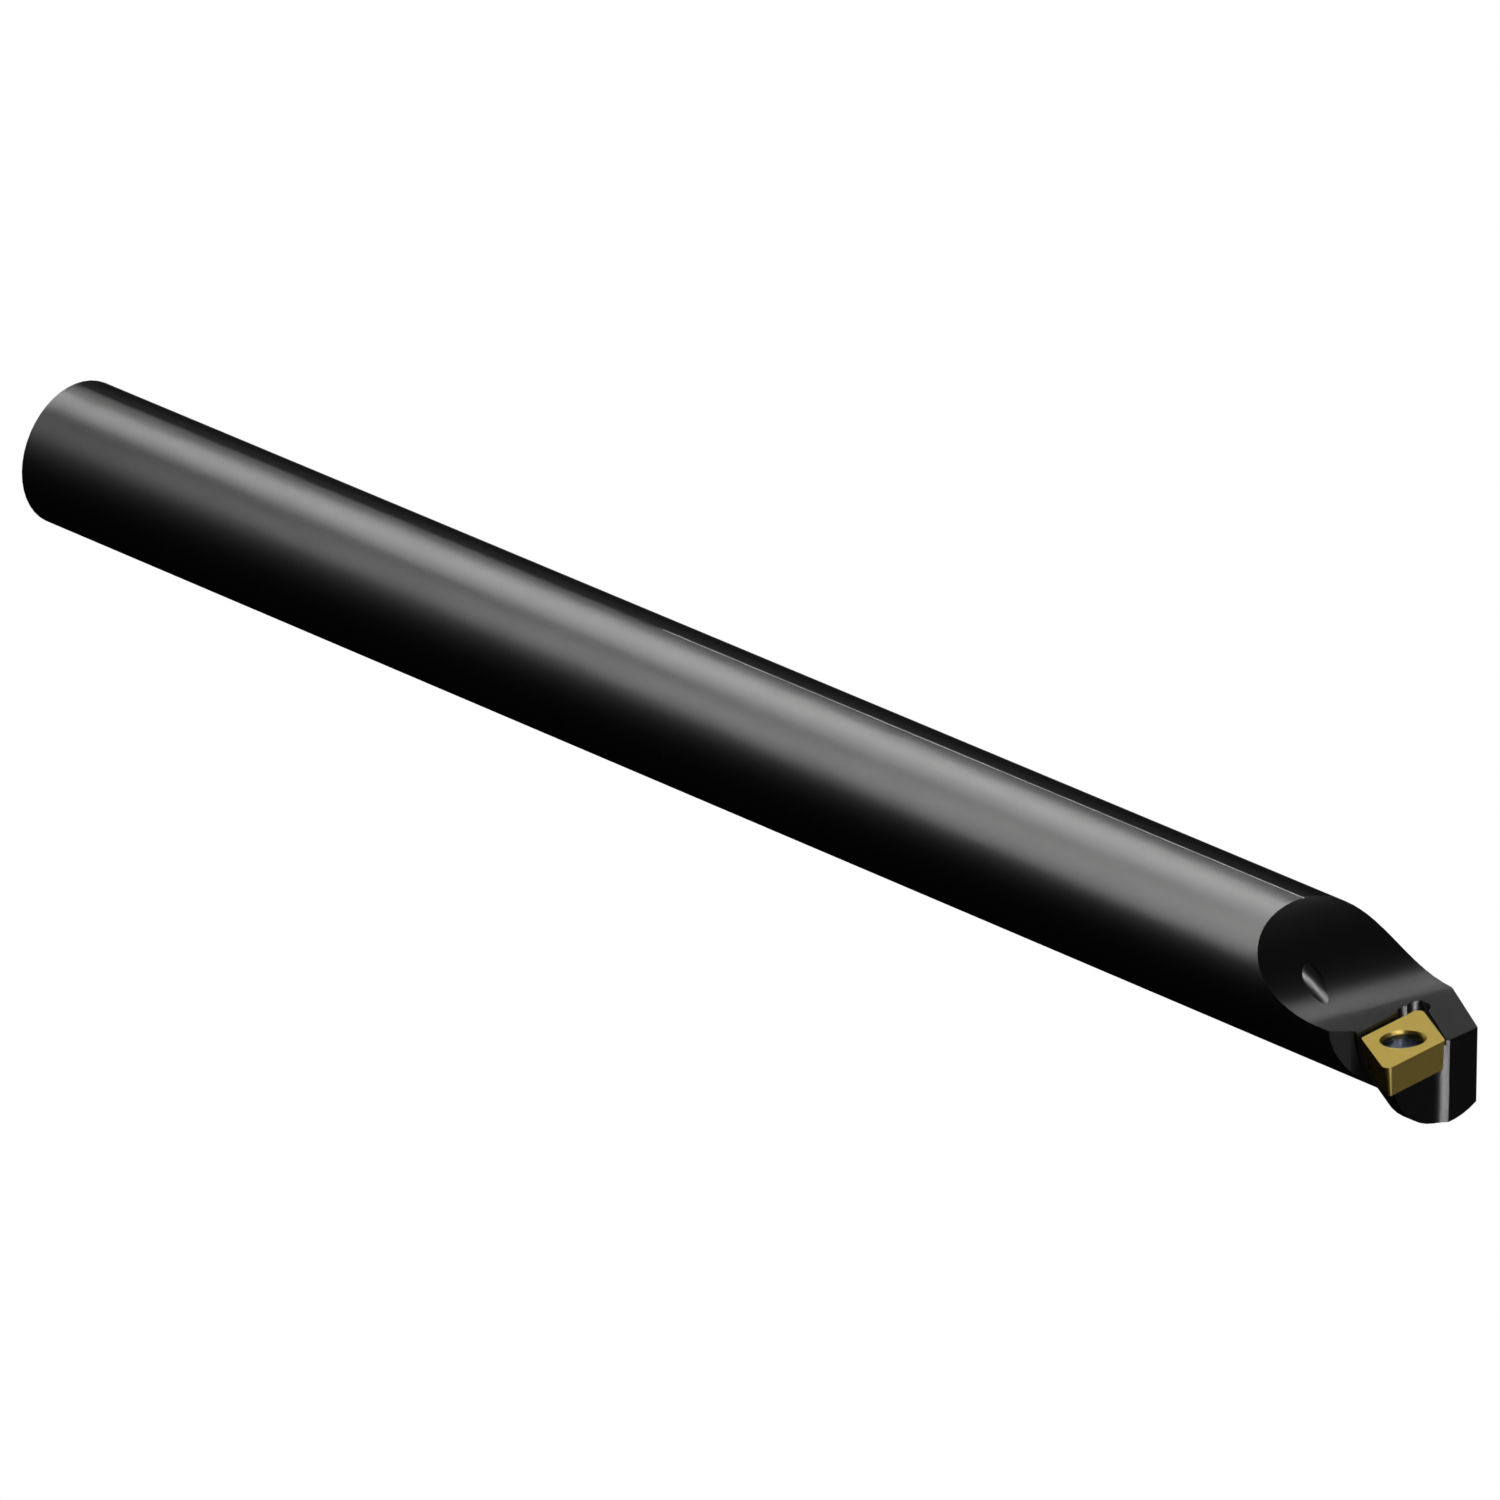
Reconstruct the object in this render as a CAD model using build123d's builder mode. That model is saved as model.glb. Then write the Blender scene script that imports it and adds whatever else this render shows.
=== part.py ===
"""Boring bar: a 20 mm steel bar with a screw-clamped 55 degree insert, coolant fed through its middle.

Frame: X runs along the bar from its rear face to the cutting nose, Z is up from the rake side,
and the nose points to -Y. The origin is the middle of the rear face. Lengths are in millimetres.
"""

import os
from math import cos, radians, sin, sqrt, tan

from build123d import *

# Bar
shank_dia = 20.0
functional_length = 250.0  # rear face to the cutting nose
head_length = 30.0  # the rest of the bar is the ground shank
head_taper = 0.03  # lost from the radius over the head's length
tip_offset = 13.0  # bar's axis to the cutting nose
bore_dia = 5.5  # coolant bore from the rear face
bore_setback = 30.0  # nose to the bore's end
bore_chamfer = 0.5
drill_point_angle = 118.0
line_start = 110.0  # fine alignment line along the top
line_width = 0.16
line_depth = 0.08

# Insert: 55 degree rhombus, 7 degree flanks
insert_circle = 9.525  # inscribed circle
insert_angle = 55.0
insert_thickness = 3.97
insert_clearance = 7.0
nose_radius = 0.8
insert_hole_dia = 4.4
insert_mouth_dia = 5.95
insert_mouth_depth = 1.8
mouth_round = 0.1

# How the insert sits in the head
lead_angle = 93.0
rake_tilt = 6.0  # insert's top rises towards the nose

# Insert screw
screw_dia = 3.5
screw_length = 7.0
screw_chamfer = 0.35
head_angle = 60.0
head_depth = 0.4  # head's top below the insert's top
socket_dia = 3.3
socket_waist_dia = 2.4
socket_flute_dia = 1.42
socket_round = 0.12
socket_depth = 1.3
socket_lobes = 6
seat_clearance = 0.02  # screw to insert and to the bar's hole
tapping_spare = 0.8  # screw's hole beyond the screw's end

# Gullet and floor
floor_drop = 0.35  # floor below the nose
gullet_radius = 14.2
gullet_skew = 15.4  # gullet's axis from square to the bar
gullet_setback = 12.58  # nose to where the gullet meets the floor, on the bar's axis

# Front of the head
front_setback = 0.54  # nose to the front face
front_relief = 0.69  # front face to the wall under the insert's front edge
front_relief_radius = 3.26
front_relief_side = 1.18  # bar's axis to where the relief leaves the front face
front_corner = 3.9  # bar's axis to where the front face ends
corner_angle = 31.5

# Nose support: a cylinder a little below the shank's axis, with a cone behind it
support_oversize = 0.36  # on the shank's radius
support_shift = -0.8
support_drop = 1.41
support_setback = 3.3  # nose to where the cone ends
cone_angle = 25.0
cone_length = 8.7

# Notch in the shank behind the nose
notch_radius = 4.8
notch_setback = 7.6  # nose to the middle of the notch's arc
notch_outset = 1.41  # shank's surface to the middle of the notch's arc
notch_rear_angle = 45.0
notch_front_angle = 32.0

# Pocket
pocket_gap = 0.05  # insert's far flank to the pocket's side wall
ledge_width = 0.35  # insert's edge to the pocket's edge in the floor
ledge_depth = 0.65
relief_dia = 3.0
relief_depth = 0.5
relief_inset = 0.65  # insert's far corner to the first relief, along the bar
relief_side = 1.03  # and across it
relief_spread = 1.83  # first relief to the second, across the bar

# Coolant outlet
outlet_dia = 2.75
outlet_setback = 20.74
outlet_side = 4.09
outlet_height = 1.63
outlet_turn = 22.0
outlet_fall = 2.5
outlet_run = 10.8  # gullet back to the bore

shank_radius = shank_dia / 2
bore_radius = bore_dia / 2
bore_end = functional_length - bore_setback
front_x = functional_length - front_setback
reach = 3 * shank_dia  # longer than any cut through the head

os.makedirs("parts", exist_ok=True)

# Insert's own frame: the sharp corner of the nose, x along the front edge
acute = radians(insert_angle)
yaw = radians(lead_angle - 90)
tilt = radians(rake_tilt)
edge = insert_circle / sin(acute)
bisect = yaw + acute / 2
corner_reach = nose_radius / sin(acute / 2)  # sharp corner to the nose's centre
corner_x = functional_length - nose_radius + corner_reach * sin(bisect)
corner_y = nose_radius - tip_offset - corner_reach * cos(bisect)
insert_plane = Plane(
    origin=(corner_x, corner_y, 0),
    x_dir=(-sin(yaw) * cos(tilt), cos(yaw), -sin(yaw) * sin(tilt)),
    z_dir=(-sin(tilt), 0, cos(tilt)),
)
side = (cos(acute), sin(acute))  # direction of the insert's side edges
hole_plane = Plane(
    origin=insert_plane.from_local_coords((edge * (1 + side[0]) / 2, insert_circle / 2, 0)),
    x_dir=insert_plane.x_dir,
    z_dir=-insert_plane.y_dir,
)
hole_axis = Axis(hole_plane.origin, insert_plane.z_dir)

with BuildPart() as insert:
    with BuildSketch(insert_plane) as outline:
        Polygon(
            (0, 0),
            (edge, 0),
            (edge * (1 + side[0]), insert_circle),
            (edge * side[0], insert_circle),
            align=None,
        )
        fillet(outline.vertices(), nose_radius)
    extrude(amount=-insert_thickness, taper=insert_clearance)

    hole_radius = insert_hole_dia / 2
    mouth_radius = insert_mouth_dia / 2
    with BuildSketch(hole_plane):
        with BuildLine():
            Polyline(
                (mouth_radius, 0),
                (0, 0),
                (0, -insert_thickness),
                (hole_radius, -insert_thickness),
                (hole_radius, -insert_mouth_depth),
            )
            TangentArc((hole_radius, -insert_mouth_depth), (mouth_radius, 0), tangent=(0, 1))
        make_face()
    revolve(axis=hole_axis, mode=Mode.SUBTRACT)
    fillet(insert.edges(Select.LAST).sort_by(hole_axis)[-1], mouth_round)

# The screw's cone bears on the curved mouth where their slopes agree
screw_radius = screw_dia / 2
half_head = radians(head_angle / 2)
flare = mouth_radius - hole_radius
mouth_curve = (insert_mouth_depth**2 + flare**2) / (2 * flare)
bearing_radius = hole_radius + mouth_curve * (1 - cos(half_head)) - seat_clearance / cos(half_head)
bearing_depth = insert_mouth_depth - mouth_curve * sin(half_head)
head_radius = bearing_radius + (bearing_depth - head_depth) * tan(half_head)
neck_depth = head_depth + (head_radius - screw_radius) / tan(half_head)
screw_end = head_depth + screw_length

with BuildPart() as insert_screw:
    with BuildSketch(hole_plane):
        Polygon(
            (0, -head_depth),
            (head_radius, -head_depth),
            (screw_radius, -neck_depth),
            (screw_radius, screw_chamfer - screw_end),
            (screw_radius - screw_chamfer, -screw_end),
            (0, -screw_end),
            align=None,
        )
    revolve(axis=hole_axis)

    flute_radius = socket_flute_dia / 2
    socket_plane = Plane(hole_plane.origin, hole_plane.x_dir, hole_axis.direction)
    with BuildSketch(socket_plane.offset(-head_depth)) as socket:
        Circle(socket_dia / 2)
        with PolarLocations(socket_waist_dia / 2 + flute_radius, socket_lobes):
            Circle(flute_radius, mode=Mode.SUBTRACT)
        fillet(socket.vertices(), socket_round)
    extrude(amount=-socket_depth, mode=Mode.SUBTRACT)

with BuildPart() as bar:
    with BuildSketch(Plane.XZ):
        Polygon(
            (0, 0),
            (0, shank_radius),
            (functional_length - head_length, shank_radius),
            (front_x, shank_radius - head_taper),
            (front_x, 0),
            align=None,
        )
    revolve(axis=Axis.X)

    # Notch behind the nose
    rear_slope = radians(notch_rear_angle)
    front_slope = radians(notch_front_angle)
    notch_x = functional_length - notch_setback
    notch_y = -shank_radius - notch_outset
    rear_end = (notch_x - notch_radius * sin(rear_slope), notch_y + notch_radius * cos(rear_slope))
    front_end = (notch_x + notch_radius * sin(front_slope), notch_y + notch_radius * cos(front_slope))
    rear_out = (rear_end[0] - reach * cos(rear_slope), rear_end[1] - reach * sin(rear_slope))
    front_out = (front_end[0] + reach * cos(front_slope), front_end[1] - reach * sin(front_slope))
    with BuildSketch():
        with BuildLine():
            Polyline(front_end, front_out, rear_out, rear_end)
            ThreePointArc(rear_end, (notch_x, notch_y + notch_radius), front_end)
        make_face()
    extrude(amount=reach, both=True, mode=Mode.SUBTRACT)

    # Nose support
    support_x = functional_length - support_setback
    support_radius = shank_radius + support_oversize
    support_plane = Plane((0, support_shift, -support_drop), x_dir=(1, 0, 0), z_dir=(0, -1, 0))
    with BuildSketch(support_plane):
        Polygon(
            (support_x - cone_length, 0),
            (support_x - cone_length, support_radius - cone_length * tan(radians(cone_angle))),
            (support_x, support_radius),
            (front_x, support_radius),
            (front_x, 0),
            align=None,
        )
    revolve(axis=Axis(support_plane.origin, (1, 0, 0)))

    # Gullet and floor
    skew = radians(gullet_skew)
    gullet_plane = Plane(
        (functional_length - gullet_setback, 0, -floor_drop),
        x_dir=(cos(skew), -sin(skew), 0),
        z_dir=(-sin(skew), -cos(skew), 0),
    )
    with BuildSketch(gullet_plane):
        with BuildLine():
            Polyline((0, 0), (reach, 0), (reach, gullet_radius), (-gullet_radius, gullet_radius))
            TangentArc((0, 0), (-gullet_radius, gullet_radius), tangent=(-1, 0))
        make_face()
    extrude(amount=reach, both=True, mode=Mode.SUBTRACT)

    # Far corner of the head, and the relief under the insert's front edge
    corner_slope = radians(corner_angle)
    far_x, far_y = front_x + reach, front_corner + reach * sin(corner_slope)
    relief_x = front_x - front_relief
    relief_rise = sqrt(front_relief_radius**2 - (front_relief_radius - front_relief) ** 2)
    relief_y = -front_relief_side - relief_rise
    with BuildSketch():
        Polygon(
            (front_x, front_corner),
            (far_x, front_corner),
            (far_x, far_y),
            (front_x - reach * cos(corner_slope), far_y),
            align=None,
        )
        with BuildLine():
            Polyline(
                (front_x, -front_relief_side),
                (far_x, -front_relief_side),
                (far_x, -reach),
                (relief_x, -reach),
                (relief_x, relief_y),
            )
            TangentArc((relief_x, relief_y), (front_x, -front_relief_side), tangent=(0, 1))
        make_face()
    extrude(amount=reach, both=True, mode=Mode.SUBTRACT)

    # Pocket: its floor and rear wall lie on the insert's own faces
    seat_plane = insert_plane.offset(-insert_thickness)
    seat_y = insert_circle - insert_thickness * tan(radians(insert_clearance))
    seat_x = (seat_y * (1 + side[0]) + pocket_gap) / side[1]
    with BuildSketch(seat_plane):
        Polygon(
            (seat_x, seat_y),
            (seat_x - reach, seat_y),
            (seat_x - reach * (1 + side[0]), seat_y - reach * side[1]),
            (seat_x - reach * side[0], seat_y - reach * side[1]),
            align=None,
        )
    extrude(amount=2 * insert_thickness, taper=-insert_clearance, mode=Mode.SUBTRACT)

    # Ledge round the top of the pocket, and the two corner reliefs
    far_corner = insert_plane.from_local_coords((edge * (1 + side[0]), insert_circle, 0))
    near_corner = insert_plane.from_local_coords((edge, 0, 0))
    left_corner = insert_plane.from_local_coords((edge * side[0], insert_circle, 0))
    corner_point = Vector(far_corner.X, far_corner.Y)
    along = Vector(near_corner.X, near_corner.Y) - corner_point
    across = Vector(left_corner.X, left_corner.Y) - corner_point
    with BuildSketch(Plane.XY.offset(-floor_drop - ledge_depth)):
        Polygon(
            corner_point,
            corner_point + along * 2,
            corner_point + (along + across) * 2,
            corner_point + across * 2,
            align=None,
        )
        offset(amount=ledge_width, kind=Kind.INTERSECTION)
    extrude(amount=reach, mode=Mode.SUBTRACT)

    hole_x = far_corner.X + relief_inset
    hole_y = far_corner.Y - relief_side
    hole_z = seat_plane.origin.Z + (hole_x - seat_plane.origin.X) * tan(tilt) - relief_depth
    with BuildSketch(Plane.XY.offset(hole_z)):
        with Locations((hole_x, hole_y), (hole_x, hole_y - relief_spread)):
            Circle(relief_dia / 2)
    extrude(amount=reach, mode=Mode.SUBTRACT)

    # Screw's hole in the seat
    drill_slope = tan(radians(drill_point_angle / 2))
    tapped_radius = screw_radius + seat_clearance
    tapped_end = screw_end + tapping_spare
    with BuildSketch(hole_plane):
        Polygon(
            (0, 0),
            (tapped_radius, 0),
            (tapped_radius, -tapped_end),
            (0, -tapped_end - tapped_radius / drill_slope),
            align=None,
        )
    revolve(axis=hole_axis, mode=Mode.SUBTRACT)

    # Coolant bore and its outlet in the gullet
    with BuildSketch(Plane.XZ):
        Polygon(
            (0, 0),
            (0, bore_radius + bore_chamfer),
            (bore_chamfer, bore_radius),
            (bore_end, bore_radius),
            (bore_end + bore_radius / drill_slope, 0),
            align=None,
        )
    revolve(axis=Axis.X, mode=Mode.SUBTRACT)

    turn, fall = radians(outlet_turn), radians(outlet_fall)
    outlet_plane = Plane(
        (functional_length - outlet_setback, -outlet_side, outlet_height),
        z_dir=(cos(fall) * cos(turn), -cos(fall) * sin(turn), -sin(fall)),
    )
    with BuildSketch(outlet_plane):
        Circle(outlet_dia / 2)
    extrude(amount=outlet_run, both=True, mode=Mode.SUBTRACT)

    # Alignment line, which runs out into the gullet
    line_end = functional_length - gullet_setback
    with BuildSketch(Plane.XY.offset(shank_radius - line_depth)):
        with Locations((line_start, 0)):
            Rectangle(line_end - line_start, line_width, align=(Align.MIN, Align.CENTER))
    extrude(amount=reach, mode=Mode.SUBTRACT)

bar.part.label = "bar"
insert.part.label = "insert"
insert_screw.part.label = "insert_screw"
export_step(bar.part, "parts/bar.step")
export_step(insert.part, "parts/insert.step")
export_step(insert_screw.part, "parts/insert_screw.step")
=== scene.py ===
"""Looks of the boring bar: black oxide steel, a gold coated insert and a dark screw.

The frame is the CAD part's: metres, X along the bar to the cutting nose, Z up from the rake side.
"""

import math

import bpy
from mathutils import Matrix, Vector


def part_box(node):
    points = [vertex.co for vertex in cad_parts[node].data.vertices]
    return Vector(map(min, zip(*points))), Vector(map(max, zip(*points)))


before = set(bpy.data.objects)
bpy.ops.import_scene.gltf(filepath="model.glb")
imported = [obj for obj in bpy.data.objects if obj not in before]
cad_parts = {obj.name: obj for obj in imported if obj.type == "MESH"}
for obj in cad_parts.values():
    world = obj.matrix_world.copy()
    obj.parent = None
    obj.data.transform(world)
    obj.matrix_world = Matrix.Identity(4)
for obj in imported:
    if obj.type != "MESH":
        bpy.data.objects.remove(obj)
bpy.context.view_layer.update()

BAR_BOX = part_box("bar")
INSERT_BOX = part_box("insert")
NOSE = Vector((INSERT_BOX[1].x, INSERT_BOX[0].y, 0))

# Camera
CAMERA_PLACE = (1.6368, -1.53027, 1.01638)
CAMERA_AZIMUTH = math.radians(44.635)
CAMERA_ELEVATION = math.radians(25.339)
SENSOR = 36.0
LENS = 443.57

# Round softboxes that show in the gloss alone: place, radius, brightness, and whether they cast a
# shadow. The front four and the mouth's shine into the gullet and the holes, so they cast none.
SOFTBOXES = {
    "key_light": ((-0.32, 0.12, 0.66), 0.28, 5.7, False),
    "side_light": ((0.03, -0.48, 0.58), 0.50, 4.95, False),
    "nose_light": ((2.33, -0.33, -0.62), 0.77, 6.9, False),
    "rear_light": ((-0.85, 0.82, 1.73), 0.81, 3.15, False),
    "back_key": ((1.12, -0.92, 1.10), 0.26, 4.0, True),
    "back_side": ((1.485, 1.42, 0.32), 0.28, 8.0, True),
    "end_light": ((-2.0, 0, 0.35), 0.70, 14.0, True),
    "mouth_light": ((0.69, -0.10, 0.88), 0.42, 2.3, False),
}

# Lights that fall on some of the nodes alone
FALL_ON = {
    "key_light": ("bar", "insert_screw"),
    "side_light": ("bar", "insert_screw"),
    "mouth_light": ("insert",),
    "back_key": ("bar", "insert_screw"),
    "back_fill": ("bar", "insert_screw"),
}

# Broad lights that show in the surfaces' own colour alone: where they come from, spread, strength
SKIES = {
    "sky_light": (Vector((0.19, 0.10, 0.98)), math.radians(40), 3.25),
    "back_fill": (Vector((-0.635, 0.643, -0.428)), math.radians(1), 60.0),
}

# Studio
DARK_ROOM = (0.002, 0.002, 0.002, 1)
WHITE = (1, 1, 1, 1)
FLOOR_RADIUS = 4.0
FLOOR_SIDES = 96

# Black oxide over ground steel, and the line scribed through it
OXIDE = (0.047, 0.047, 0.047, 1)
OXIDE_WORN = (0.053, 0.053, 0.053, 1)
# Painted shade: the recess floors below the head's floor are coloured darker than the oxide
OXIDE_PAINTED_SHADE = (0.006, 0.006, 0.006, 1)
OXIDE_TINT = (0.45, 0.45, 0.45, 1)
OXIDE_METALLIC = 0.98
OXIDE_ROUGHNESS = 0.30
OXIDE_SPREAD = 0.04
OXIDE_RELIEF = 0.0000010
BAR_MARKS = 4200.0  # rings in a metre
FACED_ROUGHNESS = 0.55  # the turned rear face
FACED_DEPTH = 0.0001
SCRIBED = (0.50, 0.50, 0.50, 1)
LINE_START = 0.110
LINE_HALF_WIDTH = 0.00009
LINE_DEPTH = 0.0001
PAINTED_SHADE_LEVEL = -0.0006  # a little below the head's floor; up-facing floors below it get painted shade
UPWARD = 0.9  # least upward part of the normal of a recess floor that gets painted shade

# Gold coating
GOLD = (0.49, 0.36, 0.086, 1)
GOLD_PALE = (0.52, 0.39, 0.100, 1)
GOLD_TINT = (0.35, 0.35, 0.35, 1)
GOLD_METALLIC = 0.20
GOLD_ROUGHNESS = 0.30
GOLD_SPREAD = 0.06
GOLD_RELIEF = 0.0000008
GRAIN = 16000.0  # grains in a metre
MOUTH_METALLIC = 1.0
MOUTH_RADIUS = 0.0032
MOUTH_LEVEL = -0.00002  # a little below the insert's top

# Screw
SCREW_BLUE = (0.060, 0.064, 0.078, 1)
SCREW_WORN = (0.070, 0.074, 0.086, 1)
SCREW_TINT = (0.35, 0.35, 0.35, 1)
SCREW_METALLIC = 1.0
SCREW_ROUGHNESS = 0.15
SCREW_SPREAD = 0.05
SCREW_RELIEF = 0.0000008
SCREW_MARKS = 9000.0  # rings in a metre
SCREW_CROWN = 66.0  # fall of the head's top, in metres for each square metre of radius
CROWN_LEVEL = -0.00045  # a little below the head's top

# Axis of the insert's hole and its screw, from the insert's top
HOLE_CENTRE = (0.24487, -0.00481, -0.00055)
HOLE_AXIS = (-0.10453, 0, 0.99452)

# Noise: patches in a metre, and detail
STEEL_MOTTLE = 160.0
COATING_MOTTLE = 900.0
MOTTLE_DETAIL = 4.0
FINE_DETAIL = 3.0
RING_ROUGHNESS = 0.6
MIDDLE = 0.5  # of a noise pattern


def node(tree, kind, inputs, **settings):
    """A new shader node. An input given as a socket is linked, and any other is set."""
    made = tree.nodes.new("ShaderNode" + kind)
    for name, value in settings.items():
        setattr(made, name, value)
    for name, value in inputs.items():
        if isinstance(value, bpy.types.NodeSocket):
            tree.links.new(value, made.inputs[name])
        else:
            made.inputs[name].default_value = value
    return made


def maths(tree, operation, *values):
    return node(tree, "Math", dict(enumerate(values)), operation=operation).outputs["Value"]


def vector_maths(tree, operation, output, inputs):
    return node(tree, "VectorMath", inputs, operation=operation).outputs[output]


def mixed(tree, factor, first, second, kind="FLOAT"):
    """The first value or colour where the factor is 0, and the second where it is 1."""
    inputs = {"Factor": factor, "A": first, "B": second}
    return node(tree, "Mix", inputs, data_type=kind).outputs["Result"]


def object_place(tree):
    return tree.nodes.new("ShaderNodeTexCoord").outputs["Object"]


def new_group(name, inputs, outputs):
    """A group with its sockets, and what its inputs give."""
    group = bpy.data.node_groups.new(name, "ShaderNodeTree")
    for direction, sockets in (("INPUT", inputs), ("OUTPUT", outputs)):
        for label, kind in sockets.items():
            group.interface.new_socket(label, in_out=direction, socket_type="NodeSocket" + kind)
    return group, group.nodes.new("NodeGroupInput").outputs


def end_group(group, results):
    end = group.nodes.new("NodeGroupOutput")
    for label, socket in results.items():
        group.links.new(socket, end.inputs[label])


FINISH_INPUTS = {
    "Color": "Color",
    "Worn Color": "Color",
    "Roughness": "Float",
    "Roughness Spread": "Float",
    "Relief": "Float",
}
FINISH_OUTPUTS = {"Base Color": "Color", "Roughness": "Float", "Normal": "Vector"}


def finish_from(group, given, pattern, mottle):
    """The mottle shifts the colour, and the fine pattern the roughness and the relief."""
    off_middle = maths(group, "SUBTRACT", pattern, MIDDLE)
    shift = maths(group, "MULTIPLY", off_middle, given["Roughness Spread"])
    bump = node(group, "Bump", {"Height": pattern, "Distance": given["Relief"]})
    return {
        "Base Color": mixed(group, mottle, given["Color"], given["Worn Color"], "RGBA"),
        "Roughness": maths(group, "ADD", given["Roughness"], shift),
        "Normal": bump.outputs["Normal"],
    }


def round_axis(group, place, centre, axis):
    """Height along an axis from its centre, and distance from the axis."""
    offset = vector_maths(group, "SUBTRACT", "Vector", {0: place, 1: centre})
    height = vector_maths(group, "DOT_PRODUCT", "Value", {0: offset, 1: axis})
    foot = vector_maths(group, "SCALE", "Vector", {0: axis, "Scale": height})
    radius = vector_maths(group, "DISTANCE", "Value", {0: offset, 1: foot})
    return height, radius


def tooling_group():
    """Fine rings of turning and grinding round an axis, one after another along it and outwards."""
    group, given = new_group(
        "tooling_marks",
        {**FINISH_INPUTS, "Centre": "Vector", "Axis": "Vector", "Marks": "Float"},
        FINISH_OUTPUTS,
    )
    place = object_place(group)
    height, radius = round_axis(group, place, given["Centre"], given["Axis"])
    run = maths(group, "MULTIPLY", maths(group, "ADD", height, radius), given["Marks"])
    rings = node(
        group,
        "TexNoise",
        {"W": run, "Scale": 1.0, "Detail": FINE_DETAIL, "Roughness": RING_ROUGHNESS},
        noise_dimensions="1D",
    )
    mottle = node(
        group, "TexNoise", {"Vector": place, "Scale": STEEL_MOTTLE, "Detail": MOTTLE_DETAIL}
    )
    end_group(group, finish_from(group, given, rings.outputs["Fac"], mottle.outputs["Fac"]))
    return group


def grain_group():
    """The even fine grain of a coating over sintered carbide."""
    group, given = new_group("coating_grain", {**FINISH_INPUTS, "Grain": "Float"}, FINISH_OUTPUTS)
    place = object_place(group)
    grain = node(
        group, "TexNoise", {"Vector": place, "Scale": given["Grain"], "Detail": FINE_DETAIL}
    )
    mottle = node(
        group, "TexNoise", {"Vector": place, "Scale": COATING_MOTTLE, "Detail": MOTTLE_DETAIL}
    )
    end_group(group, finish_from(group, given, grain.outputs["Fac"], mottle.outputs["Fac"]))
    return group


def zones_group():
    """Bares the scribed line, paints shade on the recess floors and roughens the rear face."""
    group, given = new_group(
        "bar_zones",
        {
            "Color": "Color",
            "Scribed Color": "Color",
            "Painted Shade Color": "Color",
            "Line Start": "Float",
            "Line Half Width": "Float",
            "Line Level": "Float",
            "Painted Shade Level": "Float",
            "Upward": "Float",
            "Roughness": "Float",
            "Faced Roughness": "Float",
            "Faced Depth": "Float",
        },
        {"Base Color": "Color", "Roughness": "Float"},
    )
    coordinates = group.nodes.new("ShaderNodeTexCoord").outputs
    place = node(group, "SeparateXYZ", {"Vector": coordinates["Object"]}).outputs
    facing = node(group, "SeparateXYZ", {"Vector": coordinates["Normal"]}).outputs
    across = maths(group, "ABSOLUTE", place["Y"])
    narrow = maths(group, "LESS_THAN", across, given["Line Half Width"])
    past = maths(group, "GREATER_THAN", place["X"], given["Line Start"])
    high = maths(group, "GREATER_THAN", place["Z"], given["Line Level"])
    line = maths(group, "MULTIPLY", maths(group, "MULTIPLY", narrow, past), high)
    # painted shade: up-facing floors below the head's floor are darkened
    low = maths(group, "LESS_THAN", place["Z"], given["Painted Shade Level"])
    level = maths(group, "GREATER_THAN", facing["Z"], given["Upward"])
    painted_shade = maths(group, "MULTIPLY", low, level)
    faced = maths(group, "LESS_THAN", place["X"], given["Faced Depth"])
    darkened = mixed(group, painted_shade, given["Color"], given["Painted Shade Color"], "RGBA")
    bared = mixed(group, line, darkened, given["Scribed Color"], "RGBA")
    roughness = mixed(group, faced, given["Roughness"], given["Faced Roughness"])
    end_group(group, {"Base Color": bared, "Roughness": roughness})
    return group


def mouth_group():
    """Polishes the mouth of the insert's screw hole, below its top face."""
    group, given = new_group(
        "polished_mouth",
        {
            "Metallic": "Float",
            "Mouth Metallic": "Float",
            "Centre": "Vector",
            "Axis": "Vector",
            "Mouth Radius": "Float",
            "Mouth Level": "Float",
        },
        {"Metallic": "Float"},
    )
    height, radius = round_axis(group, object_place(group), given["Centre"], given["Axis"])
    below = maths(group, "LESS_THAN", height, given["Mouth Level"])
    within = maths(group, "LESS_THAN", radius, given["Mouth Radius"])
    mouth = maths(group, "MULTIPLY", below, within)
    metallic = mixed(group, mouth, given["Metallic"], given["Mouth Metallic"])
    end_group(group, {"Metallic": metallic})
    return group


def crown_group():
    """Rounds the light over the top of the screw's head, as if it fell a little to its rim."""
    group, given = new_group(
        "crowned_head",
        {
            "Normal": "Vector",
            "Centre": "Vector",
            "Axis": "Vector",
            "Crown": "Float",
            "Crown Level": "Float",
        },
        {"Normal": "Vector"},
    )
    height, radius = round_axis(group, object_place(group), given["Centre"], given["Axis"])
    fall = maths(group, "MULTIPLY", maths(group, "MULTIPLY", radius, radius), given["Crown"])
    top = maths(group, "GREATER_THAN", height, given["Crown Level"])
    crown = maths(group, "MULTIPLY", maths(group, "MULTIPLY", fall, top), -1.0)
    bump = node(group, "Bump", {"Height": crown, "Distance": 1.0, "Normal": given["Normal"]})
    end_group(group, {"Normal": bump.outputs["Normal"]})
    return group


def finished(name, group, values, metallic, tint):
    """A material whose colour, roughness and relief come from a finish group."""
    material = bpy.data.materials.new(name)
    material.use_nodes = True
    tree = material.node_tree
    shader = tree.nodes["Principled BSDF"]
    shader.inputs["Metallic"].default_value = metallic
    shader.inputs["Specular IOR Level"].default_value = 0
    shader.inputs["Specular Tint"].default_value = tint
    finish = node(tree, "Group", values, node_tree=group)
    for label in FINISH_OUTPUTS:
        tree.links.new(finish.outputs[label], shader.inputs[label])
    return material


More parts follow.
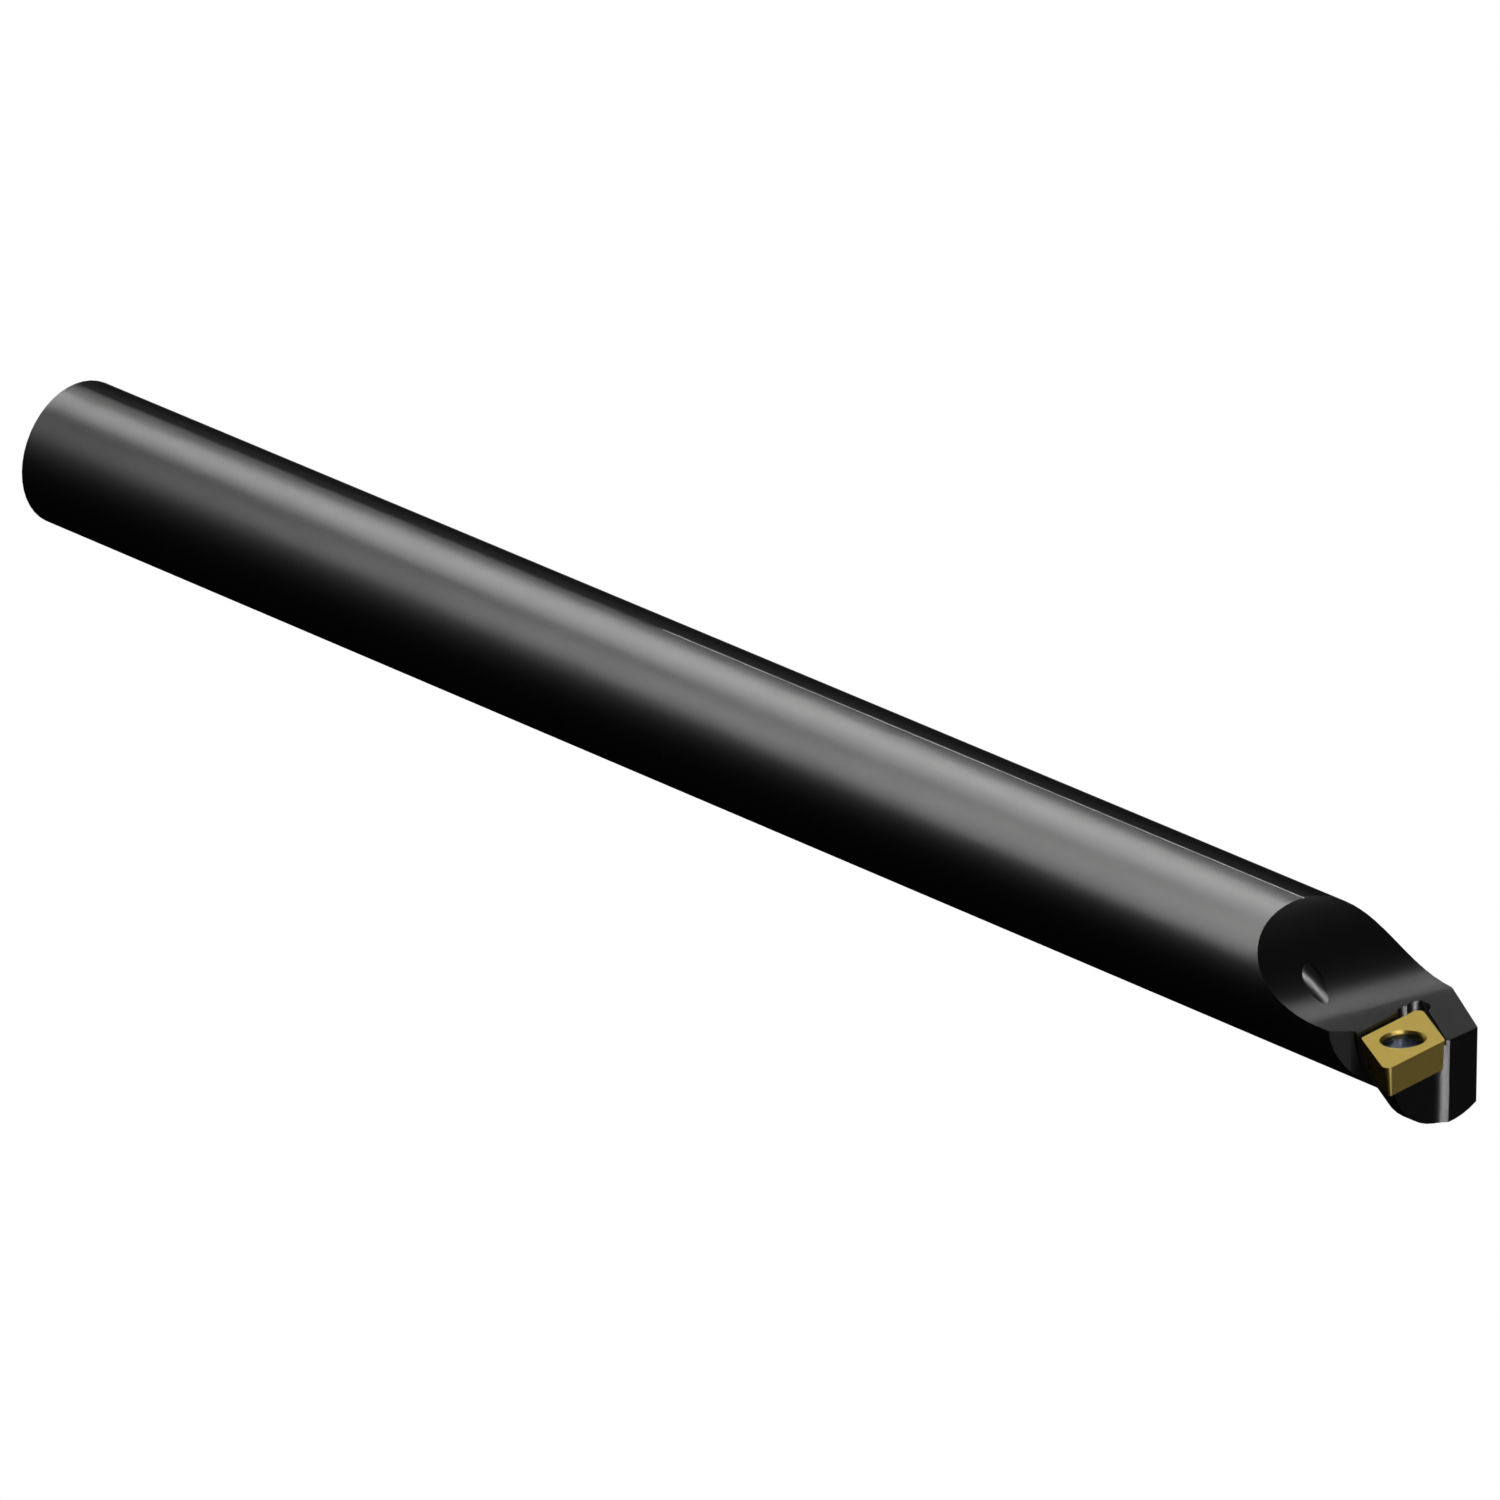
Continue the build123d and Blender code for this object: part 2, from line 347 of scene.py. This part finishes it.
def add_group(material, group, values, passed):
    """Puts a group before a material's shader. Each of its outputs is passed with the input that
    takes what the shader had, or None where that is a plain value.
    """
    tree = material.node_tree
    shader = tree.nodes["Principled BSDF"]
    added = node(tree, "Group", values, node_tree=group)
    for label, taken in passed.items():
        if taken:
            tree.links.new(shader.inputs[label].links[0].from_socket, added.inputs[taken])
        tree.links.new(added.outputs[label], shader.inputs[label])


def black_oxide(tooling):
    """Black oxide over ground steel, with the bar's zones, among them painted shade on the recess
    floors.
    """
    material = finished(
        "black_oxide",
        tooling,
        {
            "Color": OXIDE,
            "Worn Color": OXIDE_WORN,
            "Roughness": OXIDE_ROUGHNESS,
            "Roughness Spread": OXIDE_SPREAD,
            "Relief": OXIDE_RELIEF,
            "Centre": (0, 0, 0),
            "Axis": (1, 0, 0),
            "Marks": BAR_MARKS,
        },
        OXIDE_METALLIC,
        OXIDE_TINT,
    )
    zones = {
        "Scribed Color": SCRIBED,
        "Painted Shade Color": OXIDE_PAINTED_SHADE,
        "Line Start": LINE_START,
        "Line Half Width": LINE_HALF_WIDTH,
        "Line Level": BAR_BOX[1].z - LINE_DEPTH,
        "Painted Shade Level": PAINTED_SHADE_LEVEL,
        "Upward": UPWARD,
        "Faced Roughness": FACED_ROUGHNESS,
        "Faced Depth": FACED_DEPTH,
    }
    passed = {"Base Color": "Color", "Roughness": "Roughness"}
    add_group(material, zones_group(), zones, passed)
    return material


def gold_coating():
    """Gold coating, with the insert's mouth polished."""
    material = finished(
        "gold_coating",
        grain_group(),
        {
            "Color": GOLD,
            "Worn Color": GOLD_PALE,
            "Roughness": GOLD_ROUGHNESS,
            "Roughness Spread": GOLD_SPREAD,
            "Relief": GOLD_RELIEF,
            "Grain": GRAIN,
        },
        GOLD_METALLIC,
        GOLD_TINT,
    )
    mouth = {
        "Metallic": GOLD_METALLIC,
        "Mouth Metallic": MOUTH_METALLIC,
        "Centre": HOLE_CENTRE,
        "Axis": HOLE_AXIS,
        "Mouth Radius": MOUTH_RADIUS,
        "Mouth Level": MOUTH_LEVEL,
    }
    add_group(material, mouth_group(), mouth, {"Metallic": None})
    return material


def screw_steel(tooling):
    """Dark turned steel, crowned over the top of the screw's head."""
    material = finished(
        "screw_steel",
        tooling,
        {
            "Color": SCREW_BLUE,
            "Worn Color": SCREW_WORN,
            "Roughness": SCREW_ROUGHNESS,
            "Roughness Spread": SCREW_SPREAD,
            "Relief": SCREW_RELIEF,
            "Centre": HOLE_CENTRE,
            "Axis": HOLE_AXIS,
            "Marks": SCREW_MARKS,
        },
        SCREW_METALLIC,
        SCREW_TINT,
    )
    crown = {
        "Centre": HOLE_CENTRE,
        "Axis": HOLE_AXIS,
        "Crown": SCREW_CROWN,
        "Crown Level": CROWN_LEVEL,
    }
    add_group(material, crown_group(), crown, {"Normal": "Normal"})
    return material


def dress(name, material):
    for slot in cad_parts[name].material_slots:
        slot.material = material


def add_light(name, kind, shadow):
    """A light. One with no shadow shows in the holes and the gullet as well."""
    data = bpy.data.lights.new(name, kind)
    data.use_shadow = shadow
    data.cycles.use_multiple_importance_sampling = False
    lamp = bpy.data.objects.new(name, data)
    bpy.context.scene.collection.objects.link(lamp)
    lamp.visible_camera = False
    return lamp


def softbox(name, place, radius, brightness, shadow):
    """A round light that faces the nose. Its power follows from its size and brightness."""
    lamp = add_light(name, "AREA", shadow)
    lamp.data.shape = "DISK"
    lamp.data.size = 2 * radius
    lamp.data.energy = brightness * math.pi * math.pi * radius**2
    lamp.location = place
    lamp.rotation_euler = (NOSE - lamp.location).to_track_quat("-Z", "Y").to_euler()
    lamp.visible_diffuse = False
    return lamp


def sky(name, direction, spread, strength):
    """A broad light from one direction, which the gloss doesn't show."""
    lamp = add_light(name, "SUN", False)
    lamp.data.energy = strength
    lamp.data.angle = spread
    lamp.rotation_euler = (-direction).to_track_quat("-Z", "Y").to_euler()
    lamp.visible_glossy = False
    return lamp


def limit(lamp):
    """Keeps a light to the nodes that it falls on, if they are named."""
    if lamp.name in FALL_ON:
        lit = bpy.data.collections.new(lamp.name + "_falls_on")
        for name in FALL_ON[lamp.name]:
            lit.objects.link(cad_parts[name])
        lamp.light_linking.receiver_collection = lit


def make_camera():
    data = bpy.data.cameras.new("camera")
    data.sensor_width = SENSOR
    data.lens = LENS
    camera = bpy.data.objects.new("camera", data)
    bpy.context.scene.collection.objects.link(camera)
    camera.location = CAMERA_PLACE
    camera.rotation_euler = (math.pi / 2 - CAMERA_ELEVATION, 0, CAMERA_AZIMUTH)
    bpy.context.scene.camera = camera


def make_world():
    """White to the camera and dark to the metal, so that only the lights show in it."""
    world = bpy.data.worlds.new("studio")
    bpy.context.scene.world = world
    world.use_nodes = True
    tree = world.node_tree
    tree.nodes.clear()
    path = tree.nodes.new("ShaderNodeLightPath")
    shade = mixed(tree, path.outputs["Is Camera Ray"], DARK_ROOM, WHITE, "RGBA")
    background = node(tree, "Background", {"Color": shade})
    node(tree, "OutputWorld", {"Surface": background.outputs["Background"]})


def make_floor():
    """A white floor under the bar, clear from below, that neither the metal nor the light meets."""
    bpy.ops.mesh.primitive_circle_add(
        vertices=FLOOR_SIDES, radius=FLOOR_RADIUS, fill_type="NGON", location=(0, 0, 0)
    )
    floor = bpy.context.object
    floor.name = "studio_floor"
    floor.location.z = BAR_BOX[0].z
    material = bpy.data.materials.new("studio_white")
    material.use_nodes = True
    tree = material.node_tree
    tree.nodes.clear()
    white = node(tree, "Emission", {"Color": WHITE})
    clear = node(tree, "BsdfTransparent", {})
    side = tree.nodes.new("ShaderNodeNewGeometry").outputs["Backfacing"]
    one_sided = node(
        tree,
        "MixShader",
        {0: side, 1: white.outputs["Emission"], 2: clear.outputs["BSDF"]},
    )
    node(tree, "OutputMaterial", {"Surface": one_sided.outputs["Shader"]})
    floor.data.materials.append(material)
    floor.visible_diffuse = False
    floor.visible_glossy = False
    floor.visible_shadow = False


bpy.context.scene.view_settings.view_transform = "Standard"
bpy.ops.object.select_all(action="DESELECT")
make_camera()
make_world()
make_floor()
for name, settings in SKIES.items():
    limit(sky(name, *settings))
for name, settings in SOFTBOXES.items():
    limit(softbox(name, *settings))

tooling = tooling_group()
dress("bar", black_oxide(tooling))
dress("insert", gold_coating())
dress("insert_screw", screw_steel(tooling))
